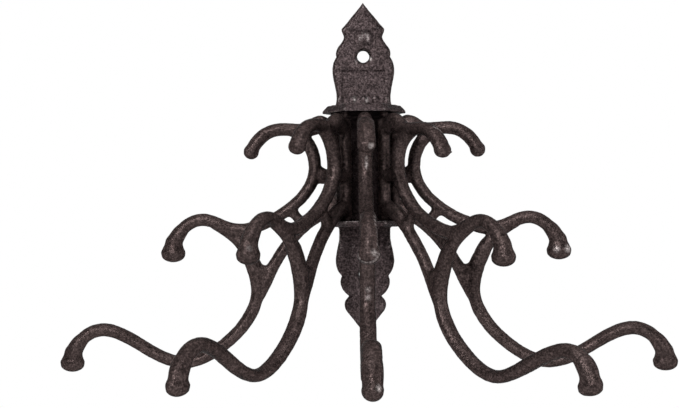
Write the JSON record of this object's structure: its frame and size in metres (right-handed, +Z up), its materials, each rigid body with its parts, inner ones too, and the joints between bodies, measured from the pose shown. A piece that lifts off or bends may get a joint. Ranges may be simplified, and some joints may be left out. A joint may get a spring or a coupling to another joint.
{
  "type": "wall hook rack with swivel arms",
  "caption": "Pointed cast iron wall plate with two shelves that hold arms on stub pins; each arm swings sideways and has upper, middle and lower hooks with knobbed ends.",
  "frame": {"origin": "midway between the two screw holes, on the wall plane at the back face of the wall plate", "axes": "+Z up the wall, +X to the right seen from the room, +Y into the wall; the arms stand out towards -Y"},
  "size_m": [0.2896, 0.1547, 0.1781],
  "materials": {
    "cast_iron": "dark brown-black oiled cast iron, fine sand-cast grain, soft sheen"
  },
  "bodies": {
    "wall_plate": {"wall_plate": "cast_iron"},
    "arm_1": {"arm_1": "cast_iron"},
    "arm_2": {"arm_2": "cast_iron"},
    "arm_3": {"arm_3": "cast_iron"},
    "arm_4": {"arm_4": "cast_iron"},
    "arm_5": {"arm_5": "cast_iron"}
  },
  "joints": [
    {"name": "arm_1_swing", "type": "hinge", "parent": "wall_plate", "child": "arm_1", "pos_m": [-0.01398, -0.01137, 0], "axis": [0, 0, 1], "range_deg": [-2, 29]},
    {"name": "arm_2_swing", "type": "hinge", "parent": "wall_plate", "child": "arm_2", "pos_m": [-0.00913, -0.01978, 0], "axis": [0, 0, 1], "range_deg": [-26, 12]},
    {"name": "arm_3_swing", "type": "hinge", "parent": "wall_plate", "child": "arm_3", "pos_m": [0, -0.0231, 0], "axis": [0, 0, 1], "range_deg": [-19, 19]},
    {"name": "arm_4_swing", "type": "hinge", "parent": "wall_plate", "child": "arm_4", "pos_m": [0.00913, -0.01978, 0], "axis": [0, 0, 1], "range_deg": [-18.5, 19.5]},
    {"name": "arm_5_swing", "type": "hinge", "parent": "wall_plate", "child": "arm_5", "pos_m": [0.01398, -0.01137, 0], "axis": [0, 0, 1], "range_deg": [-20, 11]}
  ]
}
